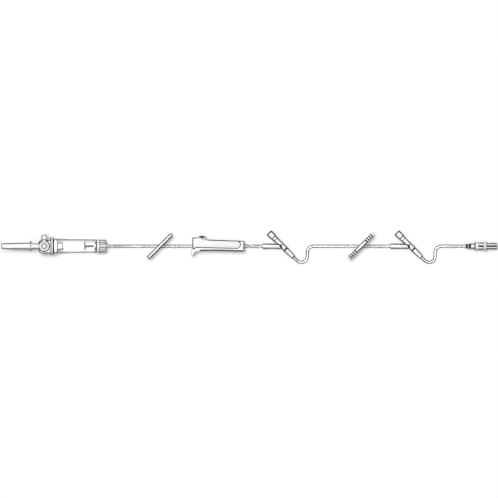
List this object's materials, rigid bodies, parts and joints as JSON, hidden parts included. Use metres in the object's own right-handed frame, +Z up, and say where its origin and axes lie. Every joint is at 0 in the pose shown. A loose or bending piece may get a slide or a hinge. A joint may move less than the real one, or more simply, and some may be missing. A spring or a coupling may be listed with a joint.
{
  "type": "gravity infusion set",
  "caption": "Gravity infusion set laid out straight: capped vented spike, drip chamber, slide clamps, roller clamp, Y injection sites and a covered male luer lock on clear tubing.",
  "frame": {"origin": "middle of the set's footprint, the tubes apart, on the table it lies on", "axes": "+X along the tubing from the spike to the luer lock, +Y towards the side the injection ports lean to, +Z up from the table"},
  "size_m": [0.694, 0.0464, 0.0245],
  "materials": {
    "sheath": "translucent moulded polyethylene, satin",
    "white_moulding": "white ABS moulding, satin",
    "membrane": "white microporous membrane, matt",
    "flap": "grey polyethylene, satin",
    "clear_chamber": "clear soft PVC, glossy",
    "filter_moulding": "white moulding, satin",
    "filter_mesh": "fine woven nylon mesh",
    "clear_tubing": "clear soft PVC tubing, glossy",
    "clamp_moulding": "white moulded polyethylene, satin",
    "roller_moulding": "dark grey moulded plastic, satin",
    "clear_port": "clear rigid moulding, glossy",
    "septum_rubber": "grey latex-free rubber, matt",
    "port_ring": "white shrink ring, satin gloss",
    "soft_sleeve": "smoky soft PVC sleeve, satin",
    "collar_moulding": "frosted rigid moulding, glossy"
  },
  "bodies": {
    "line": {"vented_spike": "white_moulding", "vent_membrane": "membrane", "vent_cover": "white_moulding", "drip_chamber": "clear_chamber", "filter_holder": "filter_moulding", "filter_mesh": "filter_mesh", "outlet_cap": "white_moulding", "tube_1": "clear_tubing", "tube_2": "clear_tubing", "tube_3": "clear_tubing", "roller_clamp_body": "clamp_moulding", "tube_adaptor": "soft_sleeve", "male_luer": "white_moulding", "y_site_1_body": "clear_port", "y_site_1_septum": "septum_rubber", "y_site_1_ring": "port_ring", "y_site_1_sleeve": "soft_sleeve", "y_site_2_body": "clear_port", "y_site_2_septum": "septum_rubber", "y_site_2_ring": "port_ring", "y_site_2_sleeve": "soft_sleeve"},
    "cover": {"spike_cover": "sheath"},
    "flap": {"vent_cap": "flap"},
    "roller": {"roller": "roller_moulding"},
    "plain_clamp": {"slide_clamp_1": "clamp_moulding"},
    "ribbed_clamp": {"slide_clamp_2": "clamp_moulding"},
    "collar": {"luer_collar": "collar_moulding"},
    "end_cover": {"luer_cover": "sheath"}
  },
  "joints": [
    {"name": "spike_cover_pull", "type": "slide", "parent": "line", "child": "cover", "axis": [-0.9991, 0, 0.0416], "range_m": [0, 0.045]},
    {"name": "vent_flap", "type": "hinge", "parent": "line", "child": "flap", "pos_m": [-0.29141, 0.00703, 0.01722], "axis": [0.0416, 0, 0.9991], "range_deg": [0, 110]},
    {"name": "roller_travel", "type": "slide", "parent": "line", "child": "roller", "axis": [0.9969, -0.0786, 0], "range_m": [0, 0.0451], "deforming": ["tube_1"]},
    {"name": "slide_clamp_1_travel", "type": "slide", "parent": "line", "child": "plain_clamp", "axis": [-0.7071, -0.7071, 0], "range_m": [0, 0.012], "deforming": ["tube_1"]},
    {"name": "slide_clamp_2_travel", "type": "slide", "parent": "line", "child": "ribbed_clamp", "axis": [-0.7071, -0.7071, 0], "range_m": [0, 0.012], "deforming": ["tube_2"]},
    {"name": "collar_turn", "type": "hinge", "parent": "line", "child": "collar", "pos_m": [0.32265, -0.00157, 0.007], "axis": [1, 0, 0], "continuous": true},
    {"name": "luer_cover_pull", "type": "slide", "parent": "line", "child": "end_cover", "axis": [1, 0, 0], "range_m": [0, 0.015]}
  ]
}
